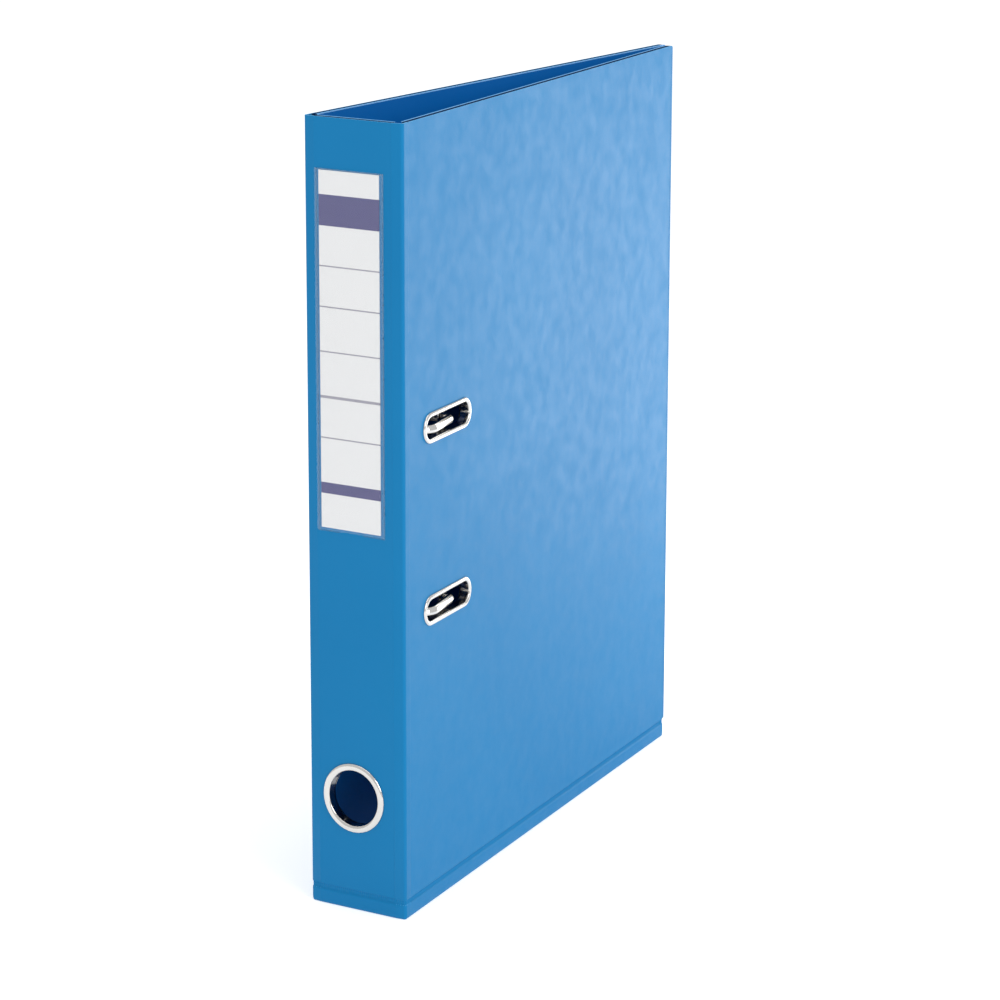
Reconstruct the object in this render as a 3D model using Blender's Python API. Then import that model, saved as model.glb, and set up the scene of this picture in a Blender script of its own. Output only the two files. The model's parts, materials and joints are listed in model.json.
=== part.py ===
"""Lever arch file, two post, F4 size with a 50 mm spine, standing closed on its bottom edge.

Metres, +Z up. The back cover lies in a plane of constant X and carries the mechanism. The spine
faces -Y, and the front cover is on the +X side. Lengths below are millimetres times MM.
"""

import math

import bmesh
import bpy
from mathutils import Vector

MM = 0.001

# Driving sizes of the covers
HEIGHT = 345.0 * MM
DEPTH = 290.0 * MM
SPINE_WIDTH = 49.0 * MM
BOARD = 2.1 * MM
FILM = 0.45 * MM
GAP = 0.2 * MM
PANEL = BOARD + 2.0 * (FILM + GAP)
HALF_PANEL = PANEL / 2.0

# Hinges: a welded strip of film joins two panels, and its axis is in the panels' middle plane
HINGE_MARGIN = 3.6 * MM
SPINE_ANGLE = math.radians(1.3)
COVER_ANGLE = math.radians(8.1)
AXIS_SPACING = SPINE_WIDTH - PANEL
COVER_LENGTH = DEPTH - HALF_PANEL
STRIP_FILM = 0.6 * MM
STRIP_ROUNDING = 1.6 * MM

# Bottom edge: a rounded bead of turned film below a ribbed weld seam
BEAD_TOP = 6.4 * MM
SEAM_TOP = 9.2 * MM
PANEL_BOTTOM = SEAM_TOP + 0.3 * MM
SEAM_THICKNESS = 1.9 * MM
CORNER_RADIUS = 1.2 * MM

# Two-post mechanism: ISO 838 spacing, posts away from the spine, arches next to it
MIDDLE = HEIGHT / 2.0
POST_SPACING = 80.0 * MM
MECHANISM_DROP = 1.2 * MM
POST_Y = 53.0 * MM
LEG_Y = 24.0 * MM
WIRE_RADIUS = 2.0 * MM
PLATE_THICKNESS = 1.2 * MM
PLATE_X = PANEL + 0.3 * MM
PLATE_TOP = PLATE_X + PLATE_THICKNESS
PLATE_Y = (12.0 * MM, 62.0 * MM)
PLATE_HALF_HEIGHT = 60.0 * MM
SHAFT_X = 9.0 * MM
CRANK_OFFSET = 6.0 * MM
CRANK_HALF = 10.0 * MM
TIP_BEND = 6.0 * MM
LEG_BEND = 6.0 * MM
POST_TOP = 33.6 * MM
POST_RADIUS = 3.0 * MM
PIVOT_X = 10.0 * MM
PIVOT_Y = 43.0 * MM
PIN_RADIUS = 1.5 * MM
PIN_CLEARANCE = 0.25 * MM
ROLLER_RADIUS = 2.6 * MM
CUTTER_HALF = 14.0 * MM
LEVER_TIP_Y = 9.0 * MM
BAR_X = (8.0 * MM, 10.2 * MM)
RIVET_RADIUS = 1.7 * MM
RIVET_HEAD = 3.6 * MM
RIVET_CLEARANCE = 0.3 * MM
RIVET_Y = (17.0 * MM, 57.0 * MM)
RIVET_RISE = 53.0 * MM

# Slots in the front cover that let the arches through and lock the cover
SLOT_LENGTH = 42.0 * MM
SLOT_HEIGHT = 9.4 * MM
SLOT_CENTRE = 39.9 * MM
EYELET_WALL = 0.5 * MM
EYELET_FLANGE = 2.1 * MM
EYELET_HEAD = 0.7 * MM

# Finger ring and label on the spine, measured along the spine from the back hinge axis
RING_ACROSS = 21.2 * MM
RING_Z = 50.9 * MM
RING_HOLE = 12.4 * MM
RING_WALL = 0.5 * MM
RING_FLANGE = 15.6 * MM
LABEL_ACROSS = (6.2 * MM, 36.2 * MM)
LABEL_Z = (169.9 * MM, 322.9 * MM)
POCKET_ACROSS = (4.0 * MM, 38.3 * MM)
POCKET_Z = (168.8 * MM, 325.0 * MM)
POCKET_FILM = 0.25 * MM
INSERT = 0.35 * MM

ARC_STEPS = 10


def clear_scene():
    for old in list(bpy.data.objects):
        bpy.data.objects.remove(old, do_unlink=True)


def material(name, colour, roughness, metallic=0.0, alpha=1.0):
    made = bpy.data.materials.new(name)
    made.use_nodes = True
    shader = made.node_tree.nodes["Principled BSDF"]
    shader.inputs["Base Color"].default_value = (*colour, 1.0)
    shader.inputs["Roughness"].default_value = roughness
    shader.inputs["Metallic"].default_value = metallic
    shader.inputs["Alpha"].default_value = alpha
    return made


def pivot(name, place, turn, parent):
    """An empty on a joint's axis; its local Z stays vertical."""
    empty = bpy.data.objects.new(name, None)
    bpy.context.scene.collection.objects.link(empty)
    empty.parent = parent
    empty.location = place
    empty.rotation_euler = (0.0, 0.0, turn)
    return empty


def piece(name, mesh, parent, finish):
    made = bpy.data.objects.new(name, mesh)
    made.data.materials.append(finish)
    bpy.context.scene.collection.objects.link(made)
    made.parent = parent
    return made


def arc(centre, radius, start, end, steps=ARC_STEPS):
    """Points on an arc, in degrees, both ends included."""
    turns = [math.radians(start + (end - start) * step / steps) for step in range(steps + 1)]
    return [(centre[0] + radius * math.cos(a), centre[1] + radius * math.sin(a)) for a in turns]


def circle(centre, radius, steps=32):
    return arc(centre, radius, 0.0, 360.0, steps)[:-1]


def rectangle(low, high):
    return [(low[0], low[1]), (high[0], low[1]), (high[0], high[1]), (low[0], high[1])]


def rounded_rectangle(low, high, radius, steps=6):
    points = arc((high[0] - radius, low[1] + radius), radius, -90, 0, steps)
    points += arc((high[0] - radius, high[1] - radius), radius, 0, 90, steps)
    points += arc((low[0] + radius, high[1] - radius), radius, 90, 180, steps)
    points += arc((low[0] + radius, low[1] + radius), radius, 180, 270, steps)
    return points


def stadium(centre, length, height, grow=0.0, steps=14):
    """A slot's outline: straight sides and half-round ends."""
    radius = height / 2.0 + grow
    reach = (length - height) / 2.0
    right = arc((centre[0] + reach, centre[1]), radius, -90, 90, steps)
    left = arc((centre[0] - reach, centre[1]), radius, 90, 270, steps)
    return right + left


AXES = {
    # (outline's first axis, outline's second axis, thickness axis)
    "yzx": lambda u, v, w: Vector((w, u, v)),
    "xzy": lambda u, v, w: Vector((u, w, v)),
    "xyz": lambda u, v, w: Vector((u, v, w)),
}


def plate(name, outline, span, axes, holes=()):
    """A flat solid: an outline with holes, drawn in two axes and extruded along the third."""
    mesh = bmesh.new()
    place = AXES[axes]
    for loop in [outline, *holes]:
        verts = [mesh.verts.new(place(u, v, span[0])) for u, v in loop]
        for first, second in zip(verts, verts[1:] + verts[:1]):
            mesh.edges.new((first, second))
    bmesh.ops.triangle_fill(mesh, edges=mesh.edges[:], use_beauty=True, use_dissolve=False)
    grown = bmesh.ops.extrude_face_region(mesh, geom=mesh.faces[:])["geom"]
    moved = [item for item in grown if isinstance(item, bmesh.types.BMVert)]
    bmesh.ops.translate(mesh, verts=moved, vec=place(0.0, 0.0, span[1] - span[0]))
    return finished(name, mesh)


def ring(name, centre, length, height, profile, axes, steps=14):
    """A closed profile of (growth, level) points carried round a slot's outline."""
    mesh = bmesh.new()
    place = AXES[axes]
    rows = []
    for grow, level in profile:
        outline = stadium(centre, length, height, grow, steps)
        if length == height:
            outline = circle(centre, height / 2.0 + grow, 48)
        rows.append([mesh.verts.new(place(u, v, level)) for u, v in outline])
    for row, beyond in zip(rows, rows[1:] + rows[:1]):
        for index in range(len(row)):
            after = (index + 1) % len(row)
            mesh.faces.new((row[index], row[after], beyond[after], beyond[index]))
    return finished(name, mesh)


def turned(name, centre, stations, axes, steps=24):
    """A solid of revolution from (level, radius) stations, closed by flat ends."""
    mesh = bmesh.new()
    place = AXES[axes]
    rows = [
        [mesh.verts.new(place(u, v, level)) for u, v in circle(centre, radius, steps)]
        for level, radius in stations
    ]
    for row, beyond in zip(rows, rows[1:]):
        for index in range(steps):
            after = (index + 1) % steps
            mesh.faces.new((row[index], row[after], beyond[after], beyond[index]))
    mesh.faces.new(rows[0])
    mesh.faces.new(rows[-1])
    return finished(name, mesh)


def loft(name, sections):
    """A solid through closed sections that have the same number of points."""
    mesh = bmesh.new()
    rows = [[mesh.verts.new(point) for point in section] for section in sections]
    count = len(rows[0])
    for row, beyond in zip(rows, rows[1:]):
        for index in range(count):
            after = (index + 1) % count
            mesh.faces.new((row[index], row[after], beyond[after], beyond[index]))
    mesh.faces.new(rows[0])
    mesh.faces.new(rows[-1])
    return finished(name, mesh)


def finished(name, mesh):
    bmesh.ops.recalc_face_normals(mesh, faces=mesh.faces[:])
    bmesh.ops.triangulate(mesh, faces=[face for face in mesh.faces if len(face.verts) > 4])
    data = bpy.data.meshes.new(name)
    mesh.to_mesh(data)
    mesh.free()
    return data


def wire(name, points, radius, parent, finish):
    """Round wire bent along a path."""
    curve = bpy.data.curves.new(name, "CURVE")
    curve.dimensions = "3D"
    curve.bevel_depth = radius
    curve.bevel_resolution = 3
    curve.use_fill_caps = True
    path = curve.splines.new("POLY")
    path.points.add(len(points) - 1)
    for slot, point in zip(path.points, points):
        slot.co = (*point, 1.0)
    made = bpy.data.objects.new(name, curve)
    curve.materials.append(finish)
    bpy.context.scene.collection.objects.link(made)
    made.parent = parent
    return made


def drill(target, label, centre, radius, reach, parent):
    """A round hole along Z through the target, from one level to another."""
    name = "cutter_" + label
    shape = turned(name, centre, [(reach[0], radius), (reach[1], radius)], "xyz")
    cutter = piece(name, shape, parent, target.active_material)
    cutter.hide_render = True
    cutter.display_type = "WIRE"
    cut = target.modifiers.new(label, "BOOLEAN")
    cut.operation = "DIFFERENCE"
    cut.solver = "EXACT"
    cut.object = cutter


def panel(prefix, outline, holes, outward, axes, parent, looks, skin_holes=None):
    """Board between two films; outward is +1 or -1 along the thickness axis.

    skin_holes are the outer film's holes, where they differ from the board's.
    """
    layers = (
        ("film_outer", HALF_PANEL - FILM, HALF_PANEL, looks["film"]),
        ("board", -BOARD / 2.0, BOARD / 2.0, looks["board"]),
        ("film_inner", -HALF_PANEL, -HALF_PANEL + FILM, looks["lining"]),
    )
    for layer, low, high, finish in layers:
        name = prefix + "_" + layer
        span = sorted((outward * low, outward * high))
        cut = skin_holes if skin_holes and layer == "film_outer" else holes
        piece(name, plate(name, outline, span, axes, cut), parent, finish)


def bottom_edge(name, start, end, outward, axes, parent, finish):
    """The turned film under a panel: a rounded bead with a thinner seam web above it."""
    bead = HALF_PANEL - 0.1 * MM
    web = SEAM_THICKNESS / 2.0
    profile = arc((0.0, bead), bead, -180, 0, 8)
    profile += [(bead, BEAD_TOP - 0.5 * MM), (web, BEAD_TOP), (web, SEAM_TOP)]
    profile += [(-web, SEAM_TOP), (-web, BEAD_TOP), (-bead, BEAD_TOP - 0.5 * MM)]
    place = AXES[axes]
    sections = [[place(along, z, outward * across) for across, z in profile] for along in (start, end)]
    piece(name, loft(name, sections), parent, finish)


def hinge_strip(name, side, parent, finish):
    """The film that bends round a corner; side is -1 at the back hinge and +1 at the front hinge."""
    rounding = STRIP_ROUNDING
    radius = HALF_PANEL + rounding
    end = HINGE_MARGIN - 0.3 * MM
    outer = [(end, -HALF_PANEL), *arc((rounding, rounding), radius, 270, 180, 12), (-HALF_PANEL, end)]
    inner_level = -HALF_PANEL + STRIP_FILM
    inner_arc = arc((rounding, rounding), radius - STRIP_FILM, 180, 270, 12)
    inner = [(inner_level, end), *inner_arc, (end, inner_level)]
    outline = [(-side * x, y) for x, y in outer + inner]
    lift = 0.4 * MM
    piece(name, plate(name, outline, (lift, HEIGHT), "xyz"), parent, finish)


def rivet_places():
    low = MIDDLE - MECHANISM_DROP - RIVET_RISE
    high = MIDDLE - MECHANISM_DROP + RIVET_RISE
    return [(along, z) for z in (low, high) for along in RIVET_Y]


def build_back_cover(root, looks):
    """Root body: the cover's own frame has its hinge axis at the root pivot."""
    spots = [(along - HALF_PANEL, z) for along, z in rivet_places()]
    holes = [circle(spot, RIVET_RADIUS + RIVET_CLEARANCE, 20) for spot in spots]
    head_holes = [circle(spot, RIVET_HEAD + RIVET_CLEARANCE, 24) for spot in spots]
    panel("back_cover", rounded_cover_outline(), holes, -1.0, "yzx", root, looks, head_holes)
    bottom_edge("back_cover_bottom_edge", HINGE_MARGIN, COVER_LENGTH, -1.0, "yzx", root, looks["edge"])


def rounded_cover_outline():
    """A cover's panel from its hinge margin to the free edge, in (along, up)."""
    low = (HINGE_MARGIN, PANEL_BOTTOM)
    high = (COVER_LENGTH, HEIGHT)
    points = [low, (high[0], low[1])]
    points += arc((high[0] - CORNER_RADIUS, high[1] - CORNER_RADIUS), CORNER_RADIUS, 0, 90, 6)
    points += [(low[0], high[1])]
    return points


def arch_levels():
    centre = MIDDLE - MECHANISM_DROP
    return centre - POST_SPACING / 2.0, centre + POST_SPACING / 2.0


def build_mechanism(base, looks):
    """Fixed parts: base plate, rivets, posts, bracket and bearings, in the object's own frame."""
    centre = MIDDLE - MECHANISM_DROP
    low, high = arch_levels()
    outline = rounded_rectangle((PLATE_Y[0], centre - PLATE_HALF_HEIGHT),
                                (PLATE_Y[1], centre + PLATE_HALF_HEIGHT), 4.0 * MM)
    holes = [circle(spot, RIVET_RADIUS + RIVET_CLEARANCE, 20) for spot in rivet_places()]
    span = (PLATE_X, PLATE_TOP)
    piece("mechanism_plate", plate("mechanism_plate", outline, span, "yzx", holes), base, looks["steel"])
    for number, spot in enumerate(rivet_places(), 1):
        name = "rivet_%d" % number
        stations = [(0.02 * MM, RIVET_HEAD - 0.3 * MM), (0.15 * MM, RIVET_HEAD), (FILM, RIVET_HEAD),
                    (FILM, RIVET_RADIUS), (PLATE_TOP + GAP, RIVET_RADIUS), (PLATE_TOP + GAP, 2.9 * MM),
                    (PLATE_TOP + 1.0 * MM, 2.6 * MM)]
        piece(name, turned(name, spot, stations, "yzx"), base, looks["nickel"])
    foot = PLATE_TOP + GAP
    for name, z in (("post_lower", low), ("post_upper", high)):
        stations = [(foot, 4.4 * MM), (foot + 1.0 * MM, 4.4 * MM), (foot + 1.5 * MM, POST_RADIUS),
                    (POST_TOP - 0.5 * MM, POST_RADIUS), (POST_TOP, 2.6 * MM), (POST_TOP, 2.0 * MM),
                    (POST_TOP - 9.0 * MM, 1.9 * MM)]
        piece(name, turned(name, (POST_Y, z), stations, "yzx", 32), base, looks["nickel"])
    for name, z in (("arch_bearing_lower", low + 14.0 * MM), ("arch_bearing_upper", high - 20.0 * MM)):
        saddle = [(foot, LEG_Y - 6.0 * MM), (foot, LEG_Y + 6.0 * MM), (foot + 1.2 * MM, LEG_Y + 6.0 * MM)]
        saddle += arc((SHAFT_X, LEG_Y), 3.3 * MM, 90, -90, 10)
        saddle += [(foot + 1.2 * MM, LEG_Y - 6.0 * MM)]
        bore = circle((SHAFT_X, LEG_Y), WIRE_RADIUS + 0.2 * MM, 24)
        piece(name, plate(name, saddle, (z, z + 6.0 * MM), "xyz", [bore]), base, looks["steel"])
    build_lever_bracket(base, looks["steel"], centre, foot)


def build_lever_bracket(base, finish, centre, foot):
    """A folded bracket with two ears that hold the lever's pin."""
    wide = 9.6 * MM
    sheet = 1.2 * MM
    ear = PIVOT_X + 3.2 * MM
    outline = [(centre - wide, foot), (centre + wide, foot), (centre + wide, ear)]
    outline += [(centre + wide - sheet, ear), (centre + wide - sheet, foot + sheet)]
    outline += [(centre - wide + sheet, foot + sheet), (centre - wide + sheet, ear), (centre - wide, ear)]
    span = (PIVOT_Y - 4.0 * MM, PIVOT_Y + 3.6 * MM)
    sections = [[Vector((x, y, z)) for z, x in outline] for y in span]
    bracket = piece("lever_bracket", loft("lever_bracket", sections), base, finish)
    reach = (centre - CUTTER_HALF, centre + CUTTER_HALF)
    drill(bracket, "bracket_pin_hole", (PIVOT_X, PIVOT_Y), PIN_RADIUS + PIN_CLEARANCE, reach, base)


def crown_x(y):
    """Level of the front cover's middle plane over the mechanism, in the root frame."""
    hinge_x = HALF_PANEL + AXIS_SPACING * math.cos(SPINE_ANGLE)
    hinge_y = HALF_PANEL + AXIS_SPACING * math.sin(SPINE_ANGLE)
    return hinge_x - (y - hinge_y) * math.tan(COVER_ANGLE)


def hoop(z):
    """One arch from its tip over the post to its leg at the shaft, as (x, y, z) points."""
    tilt = math.degrees(COVER_ANGLE)
    tip_bend = (crown_x(POST_Y) - TIP_BEND, POST_Y - TIP_BEND)
    leg_bend = (crown_x(LEG_Y) - LEG_BEND, LEG_Y + LEG_BEND)
    points = [(POST_TOP + 0.4 * MM, POST_Y)]
    points += arc(tip_bend, TIP_BEND, 90, tilt, 8)
    points += arc(leg_bend, LEG_BEND, tilt, -90, 8)
    points += [(SHAFT_X + 4.0 * MM, LEG_Y)]
    return [(x, y, z) for x, y in points]


def shaft_corner(z, inward):
    """The bend from a leg into the shaft, towards inward (+1 or -1 along Z)."""
    bend = 4.0 * MM
    points = arc((0.0, 0.0), bend, 180, 270, 6)
    return [(SHAFT_X + bend + level, LEG_Y, z + inward * (bend + along)) for along, level in points]


def build_arches(hinge, looks):
    """One bent wire: two arches joined by a shaft with a crank in its middle."""
    low, high = arch_levels()
    centre = MIDDLE - MECHANISM_DROP
    slope = 3.0 * MM
    crank = [(SHAFT_X, LEG_Y, centre - CRANK_HALF - slope),
             (SHAFT_X, LEG_Y + CRANK_OFFSET, centre - CRANK_HALF),
             (SHAFT_X, LEG_Y + CRANK_OFFSET, centre + CRANK_HALF),
             (SHAFT_X, LEG_Y, centre + CRANK_HALF + slope)]
    points = hoop(low)[:-1] + shaft_corner(low, 1.0) + crank
    points += list(reversed(shaft_corner(high, -1.0))) + list(reversed(hoop(high)[:-1]))
    origin = Vector((SHAFT_X, LEG_Y, 0.0))
    wire("arch_wire", [Vector(point) - origin for point in points], WIRE_RADIUS, hinge, looks["nickel"])


def build_lever(hinge, looks):
    """Stamped lever, its pin and its roller, in the frame of the lever's pivot."""
    centre = MIDDLE - MECHANISM_DROP
    sheet = 1.2 * MM
    crest = PIVOT_X + 9.0 * MM
    stations = (
        # (y, side plates' lower level, web's outer level, half width)
        (PIVOT_Y + 3.0 * MM, PIVOT_X - 2.0 * MM, PIVOT_X + 4.6 * MM, 7.4 * MM),
        (PIVOT_Y - 2.0 * MM, PIVOT_X - 2.6 * MM, PIVOT_X + 6.6 * MM, 7.4 * MM),
        (LEG_Y + 9.0 * MM, PIVOT_X + 1.8 * MM, crest, 7.4 * MM),
        (LEG_Y + 2.0 * MM, PIVOT_X + 3.0 * MM, crest, 7.4 * MM),
        (LEG_Y - 6.0 * MM, crest - 3.4 * MM, crest - 0.6 * MM, 8.6 * MM),
        (LEVER_TIP_Y + 3.0 * MM, crest - 3.2 * MM, crest - 0.9 * MM, 9.0 * MM),
        (LEVER_TIP_Y, crest - 2.4 * MM, crest - 0.1 * MM, 7.6 * MM),
    )
    sections = []
    for y, skirt, web, half in stations:
        inner = half - sheet
        section = [(web, -half), (web, half), (skirt, half), (skirt, inner)]
        section += [(web - sheet, inner), (web - sheet, -inner), (skirt, -inner), (skirt, -half)]
        sections.append([Vector((x - PIVOT_X, y - PIVOT_Y, centre + z)) for x, z in section])
    arm = piece("lever_arm", loft("lever_arm", sections), hinge, looks["nickel"])
    reach = (centre - CUTTER_HALF, centre + CUTTER_HALF)
    roller_x = SHAFT_X + WIRE_RADIUS + ROLLER_RADIUS + 0.3 * MM
    roller = (roller_x - PIVOT_X, LEG_Y + CRANK_OFFSET - PIVOT_Y)
    drill(arm, "lever_pin_hole", (0.0, 0.0), PIN_RADIUS + PIN_CLEARANCE, reach, hinge)
    drill(arm, "lever_roller_hole", roller, ROLLER_RADIUS + 0.3 * MM, reach, hinge)
    for name, spot, radius, half in (("lever_pin", (0.0, 0.0), PIN_RADIUS, 11.0 * MM),
                                     ("lever_roller", roller, ROLLER_RADIUS, 6.0 * MM)):
        stations = [(centre - half, radius - 0.3 * MM), (centre - half + 0.3 * MM, radius),
                    (centre + half - 0.3 * MM, radius), (centre + half, radius - 0.3 * MM)]
        piece(name, turned(name, spot, stations, "xyz"), hinge, looks["steel"])


def build_compressor(rail, looks):
    """The paper press: a bar with a hole for each post, and a spring catch on each."""
    low, high = arch_levels()
    near, far = POST_Y - 6.0 * MM, POST_Y + 6.0 * MM
    outline = rounded_rectangle((near, low - 10.0 * MM), (far, high + 10.0 * MM), 4.0 * MM)
    middle = (low + high) / 2.0
    relief = [(near, middle + 22.0 * MM), (near + 3.6 * MM, middle + 18.0 * MM),
              (near + 3.6 * MM, middle - 18.0 * MM), (near, middle - 22.0 * MM)]
    corner = len(outline) * 3 // 4
    outline = outline[:corner] + relief + outline[corner:]
    holes = [circle((POST_Y, z), POST_RADIUS + 0.4 * MM, 28) for z in (low, high)]
    piece("compressor_bar", plate("compressor_bar", outline, BAR_X, "yzx", holes), rail, looks["steel"])
    for name, z in (("compressor_catch_lower", low), ("compressor_catch_upper", high)):
        outline = rounded_rectangle((POST_Y - 5.0 * MM, z - 8.0 * MM), (POST_Y + 5.0 * MM, z + 8.0 * MM),
                                    2.5 * MM)
        hole = circle((POST_Y, z), POST_RADIUS + 0.3 * MM, 28)
        span = (BAR_X[1] + GAP, BAR_X[1] + 2.6 * MM)
        piece(name, plate(name, outline, span, "yzx", [hole]), rail, looks["plastic"])


def build_spine(hinge, looks):
    """The spine in the frame of the back hinge: +X runs along it, and -Y is its outside."""
    end = AXIS_SPACING - HINGE_MARGIN
    outline = rectangle((HINGE_MARGIN, PANEL_BOTTOM), (end, HEIGHT))
    hole = circle((RING_ACROSS, RING_Z), RING_HOLE + RING_WALL + GAP, 48)
    panel("spine", outline, [hole], -1.0, "xzy", hinge, looks)
    bottom_edge("spine_bottom_edge", HINGE_MARGIN, end, -1.0, "xzy", hinge, looks["edge"])
    build_finger_ring(hinge, looks["nickel"])
    build_label_pocket(hinge, looks["clear"])
    hinge_strip("hinge_strip_back", -1.0, hinge, looks["film"])


def build_finger_ring(hinge, finish):
    """Two pressed rings that clinch round the finger hole."""
    centre = (RING_ACROSS, RING_Z)
    across = 2.0 * RING_HOLE
    reach = RING_FLANGE - RING_HOLE
    out = -HALF_PANEL
    front = [(0.0, out - 0.5 * MM), (0.5 * MM, out - 0.9 * MM), (1.4 * MM, out - 1.0 * MM),
             (reach - 0.5 * MM, out - 0.6 * MM), (reach, out - GAP), (RING_WALL, out - GAP),
             (RING_WALL, -out + GAP), (0.0, -out + GAP)]
    piece("finger_ring_front", ring("finger_ring_front", centre, across, across, front, "xzy"), hinge, finish)
    inside = -out + 2.0 * GAP
    back = [(0.0, inside), (reach, inside), (reach - 0.5 * MM, inside + 0.5 * MM),
            (0.4 * MM, inside + 0.7 * MM), (0.0, inside + 0.5 * MM)]
    piece("finger_ring_back", ring("finger_ring_back", centre, across, across, back, "xzy"), hinge, finish)


def build_label_pocket(hinge, finish):
    """A clear film welded round three sides of the label; its bottom is open."""
    inner = -HALF_PANEL - 0.1 * MM
    cover = inner - INSERT - 0.3 * MM
    outer = cover - POCKET_FILM
    left, right = POCKET_ACROSS
    weld = 1.6 * MM
    bottom, top = POCKET_Z
    frame = [(left, bottom), (left + weld, bottom), (left + weld, top - weld), (right - weld, top - weld),
             (right - weld, bottom), (right, bottom), (right, top), (left, top)]
    lid = [(left, bottom), (right, bottom), (right, top), (left, top)]
    mesh = bmesh.new()
    back = [mesh.verts.new((x, inner, z)) for x, z in frame]
    front = [mesh.verts.new((x, cover, z)) for x, z in frame]
    roof = [mesh.verts.new((x, outer, z)) for x, z in lid]
    for index in range(len(frame)):
        after = (index + 1) % len(frame)
        mesh.faces.new((back[index], back[after], front[after], front[index]))
    mesh.faces.new(back)
    mesh.faces.new(front[1:5])
    mesh.faces.new((front[0], front[1], front[4], front[5], roof[1], roof[0]))
    mesh.faces.new((front[5], front[6], roof[2], roof[1]))
    mesh.faces.new((front[6], front[7], roof[3], roof[2]))
    mesh.faces.new((front[7], front[0], roof[0], roof[3]))
    mesh.faces.new(roof)
    piece("label_pocket", finished("label_pocket", mesh), hinge, finish)


def build_label(slide, looks):
    low = (LABEL_ACROSS[0], LABEL_Z[0])
    high = (LABEL_ACROSS[1], LABEL_Z[1])
    front = -HALF_PANEL - 0.2 * MM
    span = (front - INSERT, front)
    piece("label_insert", plate("label_insert", rectangle(low, high), span, "xzy"), slide, looks["paper"])


def build_front_cover(hinge, looks):
    """The front cover in the frame of the front hinge: +Y runs along it, and +X is its outside."""
    centres = [(SLOT_CENTRE, MIDDLE + side * POST_SPACING / 2.0) for side in (-1.0, 1.0)]
    room = EYELET_WALL + GAP
    holes = [stadium(centre, SLOT_LENGTH, SLOT_HEIGHT, room) for centre in centres]
    panel("front_cover", rounded_cover_outline(), holes, 1.0, "yzx", hinge, looks)
    bottom_edge("front_cover_bottom_edge", HINGE_MARGIN, COVER_LENGTH, 1.0, "yzx", hinge, looks["edge"])
    out = HALF_PANEL
    front = [(0.0, -out - GAP), (EYELET_WALL, -out - GAP), (EYELET_WALL, out + GAP),
             (EYELET_FLANGE, out + GAP), (EYELET_FLANGE - 0.4 * MM, out + EYELET_HEAD),
             (0.7 * MM, out + EYELET_HEAD + 0.2 * MM), (0.0, out + EYELET_HEAD - 0.2 * MM)]
    back = [(0.0, -out - 2.0 * GAP), (EYELET_FLANGE, -out - 2.0 * GAP),
            (EYELET_FLANGE - 0.4 * MM, -out - 0.9 * MM), (0.2 * MM, -out - 0.9 * MM)]
    for side, centre in zip(("lower", "upper"), centres):
        for face, profile in (("front", front), ("back", back)):
            name = "slot_eyelet_%s_%s" % (side, face)
            solid = ring(name, centre, SLOT_LENGTH, SLOT_HEIGHT, profile, "yzx")
            piece(name, solid, hinge, looks["nickel"])


def centre_on_floor(base):
    """Move the whole file so that its bounding box stands centred on the origin."""
    bpy.context.view_layer.update()
    solids = [made for made in bpy.data.objects if made.type == "MESH" and not made.hide_render]
    corners = [made.matrix_world @ vert.co for made in solids for vert in made.data.vertices]
    middle = [(min(c[axis] for c in corners) + max(c[axis] for c in corners)) / 2.0 for axis in (0, 1)]
    base.location = (-middle[0], -middle[1], -min(c.z for c in corners))


def main():
    clear_scene()
    looks = {
        "film": material("blue film", (0.035, 0.26, 0.56), 0.42),
        "lining": material("blue lining", (0.02, 0.17, 0.42), 0.5),
        "edge": material("turned film edge", (0.03, 0.22, 0.5), 0.4),
        "board": material("grey board", (0.24, 0.22, 0.2), 0.9),
        "nickel": material("bright nickel", (0.78, 0.77, 0.74), 0.16, 1.0),
        "steel": material("plated steel", (0.6, 0.6, 0.6), 0.32, 1.0),
        "plastic": material("black plastic", (0.02, 0.02, 0.022), 0.45),
        "clear": material("clear film", (0.9, 0.93, 0.95), 0.12, 0.0, 0.25),
        "paper": material("label paper", (0.85, 0.85, 0.83), 0.75),
    }
    base = pivot("file", (0.0, 0.0, 0.0), 0.0, None)
    back_hinge = pivot("back_hinge_axis", (HALF_PANEL, HALF_PANEL, 0.0), 0.0, base)
    spine_hinge = pivot("spine_axis", (HALF_PANEL, HALF_PANEL, 0.0), SPINE_ANGLE, base)
    front_turn = COVER_ANGLE - SPINE_ANGLE
    front_hinge = pivot("front_axis", (AXIS_SPACING, 0.0, 0.0), front_turn, spine_hinge)
    arch_hinge = pivot("arch_axis", (SHAFT_X, LEG_Y, 0.0), 0.0, base)
    lever_hinge = pivot("lever_axis", (PIVOT_X, PIVOT_Y, 0.0), 0.0, base)
    rail = pivot("compressor_rail", (0.0, 0.0, 0.0), 0.0, base)
    slide = pivot("label_slide", (0.0, 0.0, 0.0), 0.0, spine_hinge)
    build_back_cover(back_hinge, looks)
    build_mechanism(base, looks)
    build_arches(arch_hinge, looks)
    build_lever(lever_hinge, looks)
    build_compressor(rail, looks)
    build_spine(spine_hinge, looks)
    front_strip = pivot("front_strip", (AXIS_SPACING, 0.0, 0.0), 0.0, spine_hinge)
    hinge_strip("hinge_strip_front", 1.0, front_strip, looks["film"])
    build_label(slide, looks)
    build_front_cover(front_hinge, looks)
    centre_on_floor(base)


main()
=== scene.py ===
"""Looks of the lever arch file: film skins, weld seams, eyelets, label, materials, light and camera."""

import json
import math

import bmesh
import bpy
from mathutils import Matrix, Vector


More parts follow.
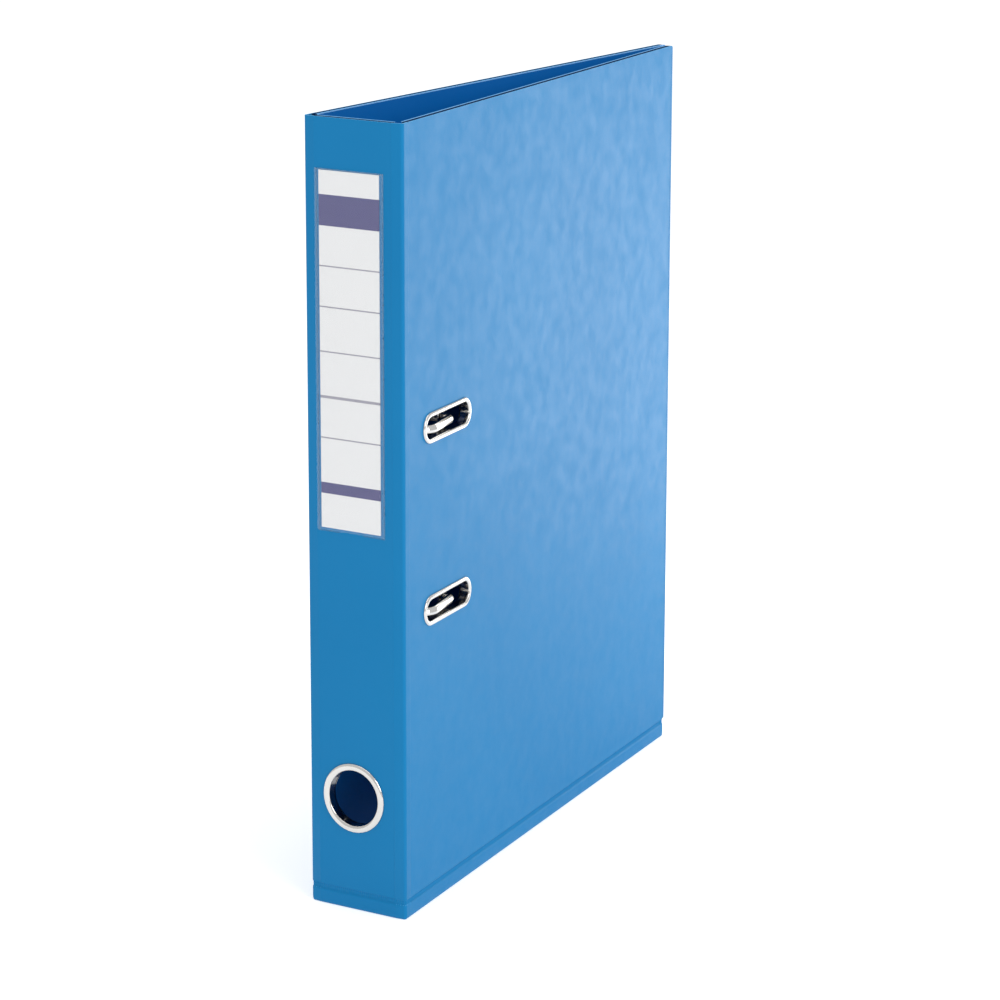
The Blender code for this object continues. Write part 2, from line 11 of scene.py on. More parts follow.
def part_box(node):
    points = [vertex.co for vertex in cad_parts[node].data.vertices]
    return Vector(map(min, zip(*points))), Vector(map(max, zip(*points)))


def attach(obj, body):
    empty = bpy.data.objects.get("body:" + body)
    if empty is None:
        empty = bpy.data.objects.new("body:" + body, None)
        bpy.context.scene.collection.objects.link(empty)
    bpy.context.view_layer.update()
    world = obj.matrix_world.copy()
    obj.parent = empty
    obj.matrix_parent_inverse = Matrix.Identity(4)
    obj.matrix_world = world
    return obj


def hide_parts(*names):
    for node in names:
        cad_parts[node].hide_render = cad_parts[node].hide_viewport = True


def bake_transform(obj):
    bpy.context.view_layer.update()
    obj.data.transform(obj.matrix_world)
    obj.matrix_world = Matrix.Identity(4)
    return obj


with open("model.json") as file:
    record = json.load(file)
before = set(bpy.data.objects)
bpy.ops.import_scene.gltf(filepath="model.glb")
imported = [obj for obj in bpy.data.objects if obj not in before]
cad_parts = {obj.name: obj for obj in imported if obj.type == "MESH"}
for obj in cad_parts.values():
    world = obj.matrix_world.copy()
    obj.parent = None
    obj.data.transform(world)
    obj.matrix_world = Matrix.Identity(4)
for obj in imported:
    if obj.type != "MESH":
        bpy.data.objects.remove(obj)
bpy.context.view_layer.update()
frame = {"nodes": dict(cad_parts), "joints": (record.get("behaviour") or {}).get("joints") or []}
MM = 0.001

# The panels: a board between two films
PANEL_LOW, PANEL_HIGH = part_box("back_cover_board")
HEIGHT = PANEL_HIGH.z
PANEL_BOTTOM = PANEL_LOW.z
FILM = 0.45 * MM
BACK_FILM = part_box("back_cover_film_outer")
HALF_PANEL = (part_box("back_cover_film_inner")[1].x - BACK_FILM[0].x) / 2.0

# The bottom edge's seam, and levels up the edge with how far the film is set back at each
SEAM_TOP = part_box("back_cover_bottom_edge")[1].z
SEAM_BOTTOM = SEAM_TOP - 2.8 * MM
RIB_PITCH = 1.1 * MM
RIB_DEPTH = 0.26 * MM
EDGE_LEVELS = (
    (0.02 * MM, 0.8 * MM),
    (0.2 * MM, 0.45 * MM),
    (0.6 * MM, 0.2 * MM),
    (1.3 * MM, 0.06 * MM),
    (2.6 * MM, 0.02 * MM),
    (5.6 * MM, 0.03 * MM),
    (SEAM_BOTTOM, 0.06 * MM),
    (SEAM_BOTTOM + 0.25 * MM, 0.26 * MM),
    (SEAM_TOP - 0.4 * MM, 0.26 * MM),
    (SEAM_TOP - 0.15 * MM, 0.06 * MM),
)


def joint(name):
    return next(entry for entry in frame["joints"] if entry["name"] == name)


BACK_AXIS = Vector(joint("spine_hinge")["pos_m"])
FRONT_AXIS = Vector(joint("front_hinge")["pos_m"])
SPINE_TURN = math.atan2(FRONT_AXIS.y - BACK_AXIS.y, FRONT_AXIS.x - BACK_AXIS.x)


def front_turn():
    """Lean of the front cover about +Z, from its outer film's box."""
    low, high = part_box("front_cover_film_outer")
    return math.atan2(high.x - low.x - FILM, high.y - low.y)


COVER_TURN = front_turn()
COVER_LENGTH = BACK_FILM[1].y - BACK_AXIS.y
MARGIN = BACK_FILM[0].y - BACK_AXIS.y
AXIS_SPACING = (FRONT_AXIS - BACK_AXIS).to_2d().length

# Slots in the front cover, measured from its hinge axis
SLOT_CENTRE = 39.9 * MM
SLOT_LENGTH = 42.0 * MM
EYELET_WALL = 0.5 * MM

# Each panel's own frame, with its hinge axis as origin: +Y runs along a cover, +X along the spine
BACK_FRAME = Matrix.Translation(BACK_AXIS)
SPINE_FRAME = Matrix.Translation(BACK_AXIS) @ Matrix.Rotation(SPINE_TURN, 4, "Z")
COVER_FRAME = Matrix.Translation(FRONT_AXIS) @ Matrix.Rotation(COVER_TURN, 4, "Z")
CORNER_FRAME = Matrix.Translation(FRONT_AXIS) @ Matrix.Rotation(SPINE_TURN, 4, "Z")


# ---------------------------------------------------------------- materials


def new_material(name):
    made = bpy.data.materials.new(name)
    made.use_nodes = True
    tree = made.node_tree
    return made, tree, tree.nodes["Principled BSDF"]


def add(tree, kind, **settings):
    made = tree.nodes.new(kind)
    for name, value in settings.items():
        setattr(made, name, value)
    return made


def noise(tree, scale, detail=3.0, roughness=0.55):
    coords = tree.nodes.get("coords") or add(tree, "ShaderNodeTexCoord")
    coords.name = "coords"
    made = add(tree, "ShaderNodeTexNoise")
    made.inputs["Scale"].default_value = scale
    made.inputs["Detail"].default_value = detail
    made.inputs["Roughness"].default_value = roughness
    tree.links.new(coords.outputs["Object"], made.inputs["Vector"])
    return made


def spread(tree, source, low, high):
    """Noise from its middle range to the range low to high."""
    made = add(tree, "ShaderNodeMapRange")
    made.inputs["From Min"].default_value = 0.3
    made.inputs["From Max"].default_value = 0.7
    made.inputs["To Min"].default_value = low
    made.inputs["To Max"].default_value = high
    tree.links.new(source, made.inputs["Value"])
    return made.outputs["Result"]


def blend_colours(tree, factor, first, second):
    made = add(tree, "ShaderNodeMix", data_type="RGBA")
    made.inputs[6].default_value = (*first, 1.0)
    made.inputs[7].default_value = (*second, 1.0)
    tree.links.new(factor, made.inputs[0])
    return made.outputs[2]


def bump(tree, shader, source, strength, distance, under=None):
    made = add(tree, "ShaderNodeBump")
    made.inputs["Strength"].default_value = strength
    made.inputs["Distance"].default_value = distance
    tree.links.new(source, made.inputs["Height"])
    if under:
        tree.links.new(under.outputs["Normal"], made.inputs["Normal"])
    tree.links.new(made.outputs["Normal"], shader.inputs["Normal"])
    return made


def film_material(name, dark, light, rough=(0.4, 0.5)):
    """Matt polypropylene film: fine grain, faint cloudiness and a soft gloss."""
    made, tree, shader = new_material(name)
    cloud = noise(tree, 9.0, 4.0)
    colour = blend_colours(tree, spread(tree, cloud.outputs["Fac"], 0.0, 1.0), dark, light)
    # The base colour carries a painted highlight on faces that point upwards.
    tree.links.new(painted_top_highlight(tree, colour), shader.inputs["Base Color"])
    fine = noise(tree, 1900.0, 2.0, 0.6)
    ripple = noise(tree, 120.0, 3.0)
    tree.links.new(spread(tree, ripple.outputs["Fac"], *rough), shader.inputs["Roughness"])
    first = bump(tree, shader, ripple.outputs["Fac"], 0.04, 0.2 * MM)
    bump(tree, shader, fine.outputs["Fac"], 0.35, 0.05 * MM, first)
    shader.inputs["IOR"].default_value = 1.4
    shader.inputs["Specular IOR Level"].default_value = 0.2
    return made


def painted_top_highlight(tree, colour):
    """The film's cut top edge is painted lighter: faces pointing upwards get a lighter blue, a painted
    highlight for the light that comes through the edge.
    """
    geometry = add(tree, "ShaderNodeNewGeometry")
    split = add(tree, "ShaderNodeSeparateXYZ")
    tree.links.new(geometry.outputs["Normal"], split.inputs["Vector"])
    upward = add(tree, "ShaderNodeMapRange")
    upward.inputs["From Min"].default_value = 0.7
    upward.inputs["From Max"].default_value = 0.95
    tree.links.new(split.outputs["Z"], upward.inputs["Value"])
    made = add(tree, "ShaderNodeMix", data_type="RGBA")
    # Painted highlight colour, mixed in on faces that point upwards.
    made.inputs[7].default_value = (0.09, 0.4, 0.74, 1.0)
    tree.links.new(upward.outputs["Result"], made.inputs[0])
    tree.links.new(colour, made.inputs[6])
    return made.outputs[2]


def metal_material(name, colour, rough, scratch=0.12):
    made, tree, shader = new_material(name)
    cloud = noise(tree, 60.0, 3.0)
    fine = noise(tree, 1400.0, 2.0)
    dark = tuple(channel * 0.9 for channel in colour)
    tint = blend_colours(tree, spread(tree, cloud.outputs["Fac"], 0.0, 1.0), dark, colour)
    tree.links.new(tint, shader.inputs["Base Color"])
    tree.links.new(spread(tree, fine.outputs["Fac"], *rough), shader.inputs["Roughness"])
    bump(tree, shader, fine.outputs["Fac"], scratch, 0.02 * MM)
    shader.inputs["Metallic"].default_value = 1.0
    return made


def board_material():
    made, tree, shader = new_material("grey board")
    flecks = noise(tree, 900.0, 5.0, 0.7)
    fibres = noise(tree, 260.0, 4.0)
    # Nearly black blue, far darker than grey board: painted shade for the dark line between the two films
    # along the top edge.
    colour = blend_colours(tree, spread(tree, flecks.outputs["Fac"], 0.0, 1.0),
                           (0.002, 0.02, 0.07), (0.004, 0.03, 0.1))
    tree.links.new(colour, shader.inputs["Base Color"])
    bump(tree, shader, fibres.outputs["Fac"], 0.5, 0.15 * MM)
    shader.inputs["Roughness"].default_value = 0.92
    shader.inputs["Specular IOR Level"].default_value = 0.05
    return made


def plastic_material():
    made, tree, shader = new_material("black plastic")
    fine = noise(tree, 700.0, 3.0)
    colour = blend_colours(tree, spread(tree, fine.outputs["Fac"], 0.0, 1.0),
                           (0.012, 0.012, 0.014), (0.024, 0.024, 0.027))
    tree.links.new(colour, shader.inputs["Base Color"])
    tree.links.new(spread(tree, fine.outputs["Fac"], 0.36, 0.5), shader.inputs["Roughness"])
    bump(tree, shader, fine.outputs["Fac"], 0.2, 0.05 * MM)
    return made


def clear_material():
    """Thin clear film: nearly invisible, with a soft sheen."""
    made, tree, shader = new_material("clear film")
    ripple = noise(tree, 12.0, 2.0)
    colour = blend_colours(tree, spread(tree, ripple.outputs["Fac"], 0.0, 1.0),
                           (0.7, 0.76, 0.86), (0.78, 0.82, 0.9))
    tree.links.new(colour, shader.inputs["Base Color"])
    tree.links.new(spread(tree, ripple.outputs["Fac"], 0.12, 0.22), shader.inputs["Roughness"])
    bump(tree, shader, ripple.outputs["Fac"], 0.05, 0.1 * MM)
    shader.inputs["Alpha"].default_value = 0.05
    shader.inputs["IOR"].default_value = 1.45
    return made


def weld_material():
    """Where the clear film is welded to the blue one: frosted and a little lighter."""
    made, tree, shader = new_material("pocket weld")
    ripple = noise(tree, 500.0, 3.0)
    colour = blend_colours(tree, spread(tree, ripple.outputs["Fac"], 0.0, 1.0),
                           (0.03, 0.22, 0.45), (0.05, 0.26, 0.5))
    tree.links.new(colour, shader.inputs["Base Color"])
    tree.links.new(spread(tree, ripple.outputs["Fac"], 0.28, 0.42), shader.inputs["Roughness"])
    bump(tree, shader, ripple.outputs["Fac"], 0.25, 0.05 * MM)
    shader.inputs["Alpha"].default_value = 0.55
    return made


def label_material(low, high):
    """Uncoated card with plain coloured bands and writing rules, by height on the card."""
    made, tree, shader = new_material("label card")
    coords = add(tree, "ShaderNodeTexCoord")
    split = add(tree, "ShaderNodeSeparateXYZ")
    tree.links.new(coords.outputs["Object"], split.inputs["Vector"])
    level = add(tree, "ShaderNodeMapRange")
    level.inputs["From Min"].default_value = low.z
    level.inputs["From Max"].default_value = high.z
    tree.links.new(split.outputs["Z"], level.inputs["Value"])
    ramp = add(tree, "ShaderNodeValToRGB")
    ramp.color_ramp.interpolation = "CONSTANT"
    white, purple, line = (0.76, 0.76, 0.755), (0.05, 0.042, 0.17), (0.3, 0.29, 0.34)
    span = high.z - low.z
    rule = 0.64 * MM / span
    marks = [(0.0, white), (0.097, purple), (0.126, white)]
    for share in (0.253, 0.367, 0.493, 0.619, 0.732):
        marks += [(share, line), (share + rule, white)]
    marks += [(0.845, purple), (0.931, white)]
    stops = ramp.color_ramp.elements
    stops[0].position, stops[0].color = marks[0][0], (*marks[0][1], 1.0)
    stops[1].position, stops[1].color = marks[-1][0], (*marks[-1][1], 1.0)
    for place, colour in marks[1:-1]:
        stops.new(place).color = (*colour, 1.0)
    tree.links.new(level.outputs["Result"], ramp.inputs["Fac"])
    fibre = noise(tree, 650.0, 4.0, 0.6)
    shade = add(tree, "ShaderNodeMix", data_type="RGBA", blend_type="MULTIPLY")
    shade.inputs[0].default_value = 1.0
    tree.links.new(ramp.outputs["Color"], shade.inputs[6])
    tone = blend_colours(tree, spread(tree, fibre.outputs["Fac"], 0.0, 1.0),
                         (0.95, 0.95, 0.95), (1.0, 1.0, 1.0))
    tree.links.new(tone, shade.inputs[7])
    tree.links.new(shade.outputs[2], shader.inputs["Base Color"])
    bump(tree, shader, fibre.outputs["Fac"], 0.15, 0.04 * MM)
    shader.inputs["Roughness"].default_value = 0.72
    return made


LABEL_LOW, LABEL_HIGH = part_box("label_insert")
LOOKS = {
    "film": film_material("blue film", (0.002, 0.166, 0.39), (0.003, 0.178, 0.41)),
    "lining": film_material("blue lining", (0.001, 0.118, 0.405), (0.002, 0.128, 0.43), (0.42, 0.52)),
    "board": board_material(),
    "nickel": metal_material("bright nickel", (0.66, 0.65, 0.63), (0.1, 0.2)),
    "steel": metal_material("plated steel", (0.62, 0.62, 0.61), (0.26, 0.38), 0.3),
    # The rolled edge's much lighter blue is a painted highlight, for light coming through the film's cut
    # edge.
    "lip": film_material("rolled film edge painted highlight", (0.2, 0.46, 0.8), (0.26, 0.52, 0.86)),
    "plastic": plastic_material(),
    "clear": clear_material(),
    "weld": weld_material(),
    "label": label_material(LABEL_LOW, LABEL_HIGH),
}


# ---------------------------------------------------------------- pieces


def smooth(made, angle):
    for face in made.data.polygons:
        face.use_smooth = True
    made.data.set_sharp_from_angle(angle=math.radians(angle))


def new_piece(name, mesh, look, body=None, angle=35.0):
    """A finished mesh as a piece of the object, in the row frame."""
    bmesh.ops.recalc_face_normals(mesh, faces=mesh.faces[:])
    data = bpy.data.meshes.new(name)
    mesh.to_mesh(data)
    mesh.free()
    made = bpy.data.objects.new(name, data)
    bpy.context.scene.collection.objects.link(made)
    made.data.materials.append(LOOKS[look])
    smooth(made, angle)
    if body:
        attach(made, body)
    return made


def grid(mesh, rows):
    """Faces over closed rows of vertices."""
    for row, beyond in zip(rows, rows[1:]):
        for index in range(len(row)):
            after = (index + 1) % len(row)
            mesh.faces.new((row[index], row[after], beyond[after], beyond[index]))


def capped(mesh, rows):
    """A solid over closed rows of vertices, with a face at each end."""
    grid(mesh, rows)
    mesh.faces.new(rows[0])
    mesh.faces.new(rows[-1])


def rib(along):
    """Depth of the weld seam's ribs along a seam."""
    return RIB_DEPTH * (0.5 + 0.5 * math.cos(2.0 * math.pi * along / RIB_PITCH))


def edge_inset(z, along):
    """How far the film is set back at a level near the bottom edge, ribs included."""
    if z >= SEAM_TOP:
        return 0.02 * MM if z < PANEL_BOTTOM else 0.0
    for (low, first), (high, second) in zip(EDGE_LEVELS, EDGE_LEVELS[1:]):
        if low <= z <= high:
            share = (z - low) / (high - low)
            inset = first + (second - first) * share
            ribbed = SEAM_BOTTOM + 0.2 * MM <= z <= SEAM_TOP - 0.3 * MM
            return inset + (rib(along) if ribbed else 0.0)
    return EDGE_LEVELS[-1][1]


def turned_edge(name, body, node, place, reach, outward, free_end):
    """The turned film under one panel: bead, ribbed seam and a flat web up to the panel.

    place maps (along, depth, up) in the panel's frame to a point; outward is the sign of the depth
    axis towards the file's outside. A free end is pinched together, as a cover's is.
    """
    mesh = bmesh.new()
    start, end = reach
    count = int((end - start) / (RIB_PITCH / 4.0))
    levels = [z for z, _ in EDGE_LEVELS] + [SEAM_TOP, PANEL_BOTTOM - 0.01 * MM]
    rows = []
    for step in range(count + 1):
        along = start + (end - start) * step / count
        pinch = min(1.0, 0.45 + (end - along) / (2.4 * MM)) if free_end else 1.0
        outside = [(z, (HALF_PANEL - edge_inset(z, along)) * pinch) for z in levels]
        column = outside + [(z, -depth) for z, depth in reversed(outside)]
        rows.append([mesh.verts.new(place(along, outward * depth, z)) for z, depth in column])
    capped(mesh, rows)
    made = new_piece(name, mesh, "film", body, 60.0)
    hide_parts(node)


def in_back(along, depth, z):
    return BACK_FRAME @ Vector((depth, along, z))


def in_spine(along, depth, z):
    return SPINE_FRAME @ Vector((along, depth, z))


def in_cover(along, depth, z):
    return COVER_FRAME @ Vector((depth, along, z))


# A corner skin's ends, as (distance from the hinge axis, set back): tucked under the film, then flush
TUCK = ((MARGIN + 0.35 * MM, 0.12 * MM), (MARGIN + 0.03 * MM, 0.06 * MM), (MARGIN - 0.03 * MM, 0.0))
ROUNDING = 1.3 * MM
STRIP_TILT = math.radians(6.0)


def corner_profile(side):
    """The skin's plan round a corner as (point, outward normal, set back), in the corner's own frame.

    It runs from the spine's film to the cover's film. side is +1 at the front and -1 at the back.
    The strip beside the spine turns a little towards the cover.
    """
    lean = COVER_TURN - SPINE_TURN if side > 0 else -SPINE_TURN
    along_spine = Vector((-side, 0.0))
    cover_way = Vector((-math.sin(lean), math.cos(lean)))
    face = Vector((0.0, -1.0))
    out = Vector((math.cos(lean), math.sin(lean))) * side
    strip_face = Vector((side * math.sin(STRIP_TILT), -math.cos(STRIP_TILT)))
    edge = along_spine * TUCK[-1][0] + face * HALF_PANEL
    beyond = cover_way * TUCK[-1][0] + out * HALF_PANEL
    centre = meeting(strip_face, strip_face.dot(edge) - ROUNDING, out, HALF_PANEL - ROUNDING)
    points = [(along_spine * reach + face * HALF_PANEL, face, dip) for reach, dip in TUCK]
    first, last = centre + strip_face * ROUNDING, centre + out * ROUNDING
    points += [(edge.lerp(first, step / 18.0), strip_face, 0.0) for step in range(1, 18)]
    start = math.atan2(strip_face.y, strip_face.x)
    sweep = side * (math.pi / 2.0 - STRIP_TILT) + lean
    for step in range(13):
        angle = start + sweep * step / 12.0
        normal = Vector((math.cos(angle), math.sin(angle)))
        points.append((centre + normal * ROUNDING, normal, 0.0))
    points += [(last.lerp(beyond, step / 18.0), out, 0.0) for step in range(1, 18)]
    points += [(cover_way * reach + out * HALF_PANEL, out, dip) for reach, dip in reversed(TUCK)]
    return points


def meeting(first, first_level, second, second_level):
    """The point p with first . p = first_level and second . p = second_level."""
    det = first.x * second.y - first.y * second.x
    x = (first_level * second.y - second_level * first.y) / det
    y = (first.x * second_level - second.x * first_level) / det
    return Vector((x, y))


def corner_skin(name, side, home, node):
    """The film strip that bends round a corner, with its seam and bead, full height."""
    mesh = bmesh.new()
    thickness = 0.75 * MM
    profile = corner_profile(side)
    travelled = 0.0
    levels = [z for z, _ in EDGE_LEVELS] + [SEAM_TOP, PANEL_BOTTOM - 0.01 * MM, PANEL_BOTTOM + 0.02 * MM]
    rise = HEIGHT - SEAM_TOP
    levels += [SEAM_TOP + rise * share for share in (0.15, 0.35, 0.55, 0.75, 0.9, 1.0)]
    rows = []
    previous = profile[0][0]
    for spot, normal, dip in profile:
        travelled += (spot - previous).length
        previous = spot
        outside, inside = [], []
        for z in levels:
            inset = edge_inset(z, travelled) + dip
            outer = spot - normal * inset
            inner = spot - normal * (thickness + inset * 0.6)
            outside.append(mesh.verts.new(home @ Vector((outer.x, outer.y, z))))
            inside.append(mesh.verts.new(home @ Vector((inner.x, inner.y, z))))
        rows.append(outside + list(reversed(inside)))
    capped(mesh, rows)
    made = new_piece(name, mesh, "film", angle=50.0)
    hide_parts(node)
    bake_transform(made)


def free_edge(name, body, place, direction):
    """The film folded round the board along a cover's free edge."""
    mesh = bmesh.new()
    low, high = SEAM_TOP + 0.3 * MM, HEIGHT - 4.0 * MM
    rows = []
    steps = 10
    reach = 0.35 * MM
    for z in (low, low + 0.5 * MM, (low + high) / 2.0, high - 0.5 * MM, high):
        ring = []
        for step in range(steps + 1):
            angle = math.radians(-90.0 + 180.0 * step / steps)
            depth = (HALF_PANEL + 0.04 * MM) * math.sin(angle)
            ring.append((COVER_LENGTH - 1.5 * MM + (1.5 * MM + reach) * math.cos(angle) ** 0.5, depth)
                        if 0 < step < steps else (COVER_LENGTH - 1.5 * MM, depth))
        inner = [(COVER_LENGTH + 0.05 * MM, HALF_PANEL * 0.8), (COVER_LENGTH + 0.05 * MM, -HALF_PANEL * 0.8)]
        column = ring + inner
        rows.append([mesh.verts.new(place(along, direction * depth, z)) for along, depth in column])
    capped(mesh, rows)
    new_piece(name, mesh, "film", body, angle=50.0)


def film_lip(name, body, place, reach, depth):
    """The lining's rolled top edge, a fine bead along one panel, coloured a much lighter blue as a painted
    highlight.
    """
    mesh = bmesh.new()
    radius = 0.34 * MM
    level = HEIGHT - 0.2 * MM
    rows = []
    for along in reach:
        turns = [2.0 * math.pi * step / 10.0 for step in range(10)]
        rows.append([mesh.verts.new(place(along, depth + radius * math.cos(turn),
                                          level + radius * math.sin(turn))) for turn in turns])
    capped(mesh, rows)
    new_piece(name, mesh, "lip", body, angle=80.0)


def outline(length, height, grow, steps=20):
    """A slot's outline, or a circle where length equals height."""
    radius = height / 2.0 + grow
    reach = (length - height) / 2.0
    points = []
    for side, first in ((1.0, -90.0), (-1.0, 90.0)):
        for step in range(steps + 1):
            angle = math.radians(first + 180.0 * step / steps)
            points.append((side * reach + radius * math.cos(angle), radius * math.sin(angle)))
    if reach == 0.0:
        del points[steps::steps + 1]
    return points


def rolled_profile(flange, out, back, head):
    """A pressed eyelet's section as (growth, level): a barrel whose rim rolls out into a flange."""
    roll = flange * 0.5
    points = [(0.0, back), (0.0, out - 0.1 * MM)]
    for step in range(1, 11):
        angle = math.radians(180.0 - 18.0 * step)
        points.append((roll + roll * math.cos(angle), out + head * math.sin(angle) ** 0.8 - 0.02 * MM))
    points[-1] = (flange, out + 0.05 * MM)
    points += [(flange - 0.3 * MM, out), (EYELET_WALL, out), (EYELET_WALL, back)]
    return points


def eyelet(name, centre, size, profile, place, body, node):
    """A rim round a slot, or round a circle where the size's length and height are equal."""
    mesh = bmesh.new()
    rows = []
    for grow, level in profile:
        row = [place(centre[0] + u, level, centre[1] + v) for u, v in outline(*size, grow)]
        rows.append([mesh.verts.new(point) for point in row])
    grid(mesh, [*rows, rows[0]])
    made = new_piece(name, mesh, "nickel", body, angle=50.0)
    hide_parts(node)


def slot_eyelets():
    """The two slots' rims, bright and rolled, where the CAD eyelets are."""
    for side in ("lower", "upper"):
        node = "slot_eyelet_%s_front" % side
        low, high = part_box(node)
        flange = 2.1 * MM
        size = (SLOT_LENGTH, high.z - low.z - 2.0 * flange)
        profile = rolled_profile(flange, HALF_PANEL + 0.05 * MM, -HALF_PANEL - 0.2 * MM, 0.9 * MM)
        centre = (SLOT_CENTRE, (low.z + high.z) / 2.0)
        eyelet("eyelet_" + side, centre, size, profile, in_cover, "front_cover", node)


def finger_ring():
    """The finger hole's rim, on both faces of the spine."""
    low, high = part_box("finger_ring_front")
    middle = SPINE_FRAME.inverted() @ ((low + high) / 2.0)
    flange = 3.2 * MM
    across = high.z - low.z - 2.0 * flange
    profile = [(grow, -level) for grow, level in
               rolled_profile(flange, HALF_PANEL + 0.05 * MM, -HALF_PANEL + 0.1 * MM, 1.0 * MM)]
    eyelet("finger_ring", (middle.x, middle.z), (across, across), profile, in_spine, "spine",
           "finger_ring_front")


def label_pocket():
    """The clear pocket: a film, frosted welds on three sides and a foot mark at each side."""
    low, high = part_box("label_pocket")
    inverse = SPINE_FRAME.inverted()
    card_low, card_high = inverse @ LABEL_LOW, inverse @ LABEL_HIGH
    left, right = (inverse @ low).x + 0.1 * MM, (inverse @ high).x - 0.1 * MM
    bottom, top = low.z, high.z - 1.4 * MM
    level = -(HALF_PANEL + 0.75 * MM)
    mesh = bmesh.new()
    points = [(left, bottom), (left, top), (right, top), (right, bottom)]
    rims = [[mesh.verts.new(in_spine(x, depth, z)) for x, z in points]
            for depth in (level, level + 0.12 * MM)]
    capped(mesh, rims)
    film = new_piece("label_pocket_film", mesh, "clear", "spine")
    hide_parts("label_pocket")
    weld = 0.9 * MM
    strips = (
        ("left", (left, bottom - 0.6 * MM), (left + weld, top)),
        ("right", (right - weld, bottom - 0.6 * MM), (right, top)),
        ("top", (left, top - weld), (right, top)),
    )
    for name, start, end in strips:
        weld_strip("label_pocket_weld_" + name, start, end)
    for name, x in (("left", card_low.x - 1.6 * MM), ("right", card_high.x + 1.4 * MM)):
        weld_strip("label_pocket_fold_" + name, (x, bottom), (x + 0.35 * MM, top - weld))
    for name, x in (("left", left), ("right", right - 11.0 * MM)):
        weld_strip("label_pocket_foot_" + name, (x, bottom - 0.7 * MM), (x + 11.0 * MM, bottom - 0.2 * MM))


def weld_strip(name, start, end):
    """A low welded ridge on the spine's face between two corners, in (along, up)."""
    base = -(HALF_PANEL + 0.02 * MM)
    crest = base - 0.15 * MM
    inset = min(0.15 * MM, (end[0] - start[0]) / 4.0, (end[1] - start[1]) / 4.0)
    mesh = bmesh.new()
    rims = []
    for depth, shrink in ((base, 0.0), (crest, inset)):
        corners = [(start[0] + shrink, start[1] + shrink), (end[0] - shrink, start[1] + shrink),
                   (end[0] - shrink, end[1] - shrink), (start[0] + shrink, end[1] - shrink)]
        rims.append([mesh.verts.new(in_spine(x, depth, z)) for x, z in corners])
    capped(mesh, rims)
    new_piece(name, mesh, "weld", "spine")


def dress_nodes():
    """Materials and softened edges for the CAD nodes that stay."""
    for name, node in frame["nodes"].items():
        look = look_of(name)
        node.data.materials.clear()
        node.data.materials.append(LOOKS[look])
        smooth(node, 40.0)
        if look in {"steel", "plastic"} or name == "lever_arm":
            soften = node.modifiers.new("soft edges", "BEVEL")
            soften.width = 0.25 * MM
            soften.segments = 2
            soften.limit_method = "ANGLE"
            soften.angle_limit = math.radians(40.0)


def look_of(name):
    if name.endswith("_board"):
        return "board"
    if "film_inner" in name:
        return "lining"
    if "film_outer" in name or "bottom_edge" in name or "hinge_strip" in name:
        return "film"
    if name.startswith("compressor_catch"):
        return "plastic"
    if name == "label_pocket":
        return "clear"
    if name == "label_insert":
        return "label"
    if name in {"mechanism_plate", "lever_bracket", "compressor_bar", "arch_bearing_lower",
                "arch_bearing_upper", "lever_pin", "lever_roller"}:
        return "steel"
    return "nickel"


# ---------------------------------------------------------------- stage


def stage():
    """A white floor, lit so evenly that almost no shadow shows."""
    made, _, shader = new_material("pale floor")
    shader.inputs["Base Color"].default_value = (0.9, 0.9, 0.9, 1.0)
    shader.inputs["Roughness"].default_value = 0.8
    shader.inputs["Specular IOR Level"].default_value = 0.1
    shader.inputs["Emission Color"].default_value = (1.0, 1.0, 1.0, 1.0)
    shader.inputs["Emission Strength"].default_value = 0.36
    bpy.ops.mesh.primitive_plane_add(size=60.0, location=(0.0, 0.0, 0.0))
    floor = bpy.context.object
    floor.name = "floor"
    floor.data.materials.append(made)


def area_light(name, place, aim, size, power):
    data = bpy.data.lights.new(name, "AREA")
    data.shape = "RECTANGLE"
    data.size, data.size_y = size
    data.energy = power
    made = bpy.data.objects.new(name, data)
    bpy.context.scene.collection.objects.link(made)
    made.location = place
    made.rotation_euler = (Vector(aim) - Vector(place)).to_track_quat("-Z", "Y").to_euler()
    made.visible_camera = False


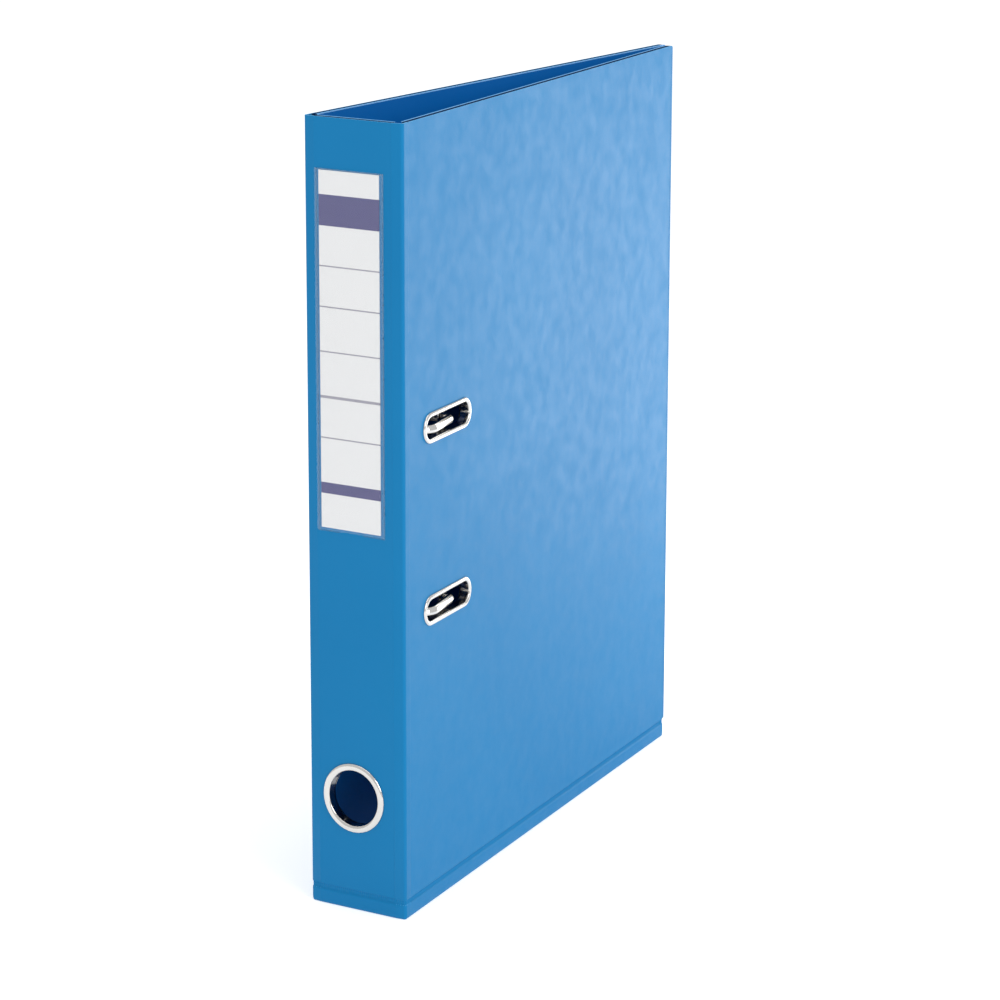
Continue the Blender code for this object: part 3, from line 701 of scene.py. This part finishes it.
def light():
    """Soft light all round, a key from the front cover's side, and a low box that glosses its far edge."""
    world = bpy.data.worlds.new("studio")
    bpy.context.scene.world = world
    world.use_nodes = True
    background = world.node_tree.nodes["Background"]
    background.inputs["Color"].default_value = (1.0, 1.0, 1.0, 1.0)
    tree = world.node_tree
    path = tree.nodes.new("ShaderNodeLightPath")
    level = tree.nodes.new("ShaderNodeMapRange")
    level.inputs["To Min"].default_value = 0.78
    level.inputs["To Max"].default_value = 1.0
    tree.links.new(path.outputs["Is Camera Ray"], level.inputs["Value"])
    tree.links.new(level.outputs["Result"], background.inputs["Strength"])
    centre = (0.0, 0.0, HEIGHT / 2.0)
    area_light("key", (1.9, -0.7, 1.3), centre, (1.2, 1.2), 19.0)
    area_light("top", (0.0, 0.0, 2.4), centre, (1.6, 1.6), 10.0)
    area_light("edge", (0.13, 0.52, 0.16), (0.0, 0.12, 0.16), (0.2, 0.3), 0.8)
    view = bpy.context.scene.view_settings
    view.view_transform = "Standard"
    view.look = "None"


def camera():
    data = bpy.data.cameras.new("camera")
    data.lens = 131.99
    data.sensor_width = 36.0
    data.clip_end = 100.0
    made = bpy.data.objects.new("camera", data)
    bpy.context.scene.collection.objects.link(made)
    yaw, pitch, roll = math.radians(33.02), math.radians(14.06), math.radians(0.14)
    aim = Matrix.Rotation(yaw, 4, "Z") @ Matrix.Rotation(math.pi / 2.0 - pitch, 4, "X")
    place = BACK_AXIS + Vector((0.89203, -1.22608, 0.5596))
    made.matrix_world = Matrix.Translation(place) @ aim @ Matrix.Rotation(roll, 4, "Z")
    bpy.context.scene.camera = made


def main():
    """Dress the CAD nodes, add the film's pieces and the metal rims, then light the stage."""
    dress_nodes()
    spine_end = AXIS_SPACING - MARGIN
    for name, body, place, end, outward, free_end in (
        ("back", "back_cover", in_back, COVER_LENGTH, -1.0, True),
        ("spine", "spine", in_spine, spine_end, -1.0, False),
        ("front", "front_cover", in_cover, COVER_LENGTH, 1.0, True),
    ):
        node = body + "_bottom_edge"
        turned_edge("bottom_edge_" + name, body, node, place, (MARGIN, end), outward, free_end)
        lip_end = end - 2.0 * MM if free_end else end
        film_lip("film_lip_" + name, body, place, (MARGIN, lip_end), -outward * (HALF_PANEL - 0.3 * MM))
    corner_skin("corner_skin_front", 1.0, CORNER_FRAME, "hinge_strip_front")
    corner_skin("corner_skin_back", -1.0, SPINE_FRAME, "hinge_strip_back")
    free_edge("free_edge_back", "back_cover", in_back, -1.0)
    free_edge("free_edge_front", "front_cover", in_cover, 1.0)
    slot_eyelets()
    finger_ring()
    label_pocket()
    stage()
    light()
    camera()


main()
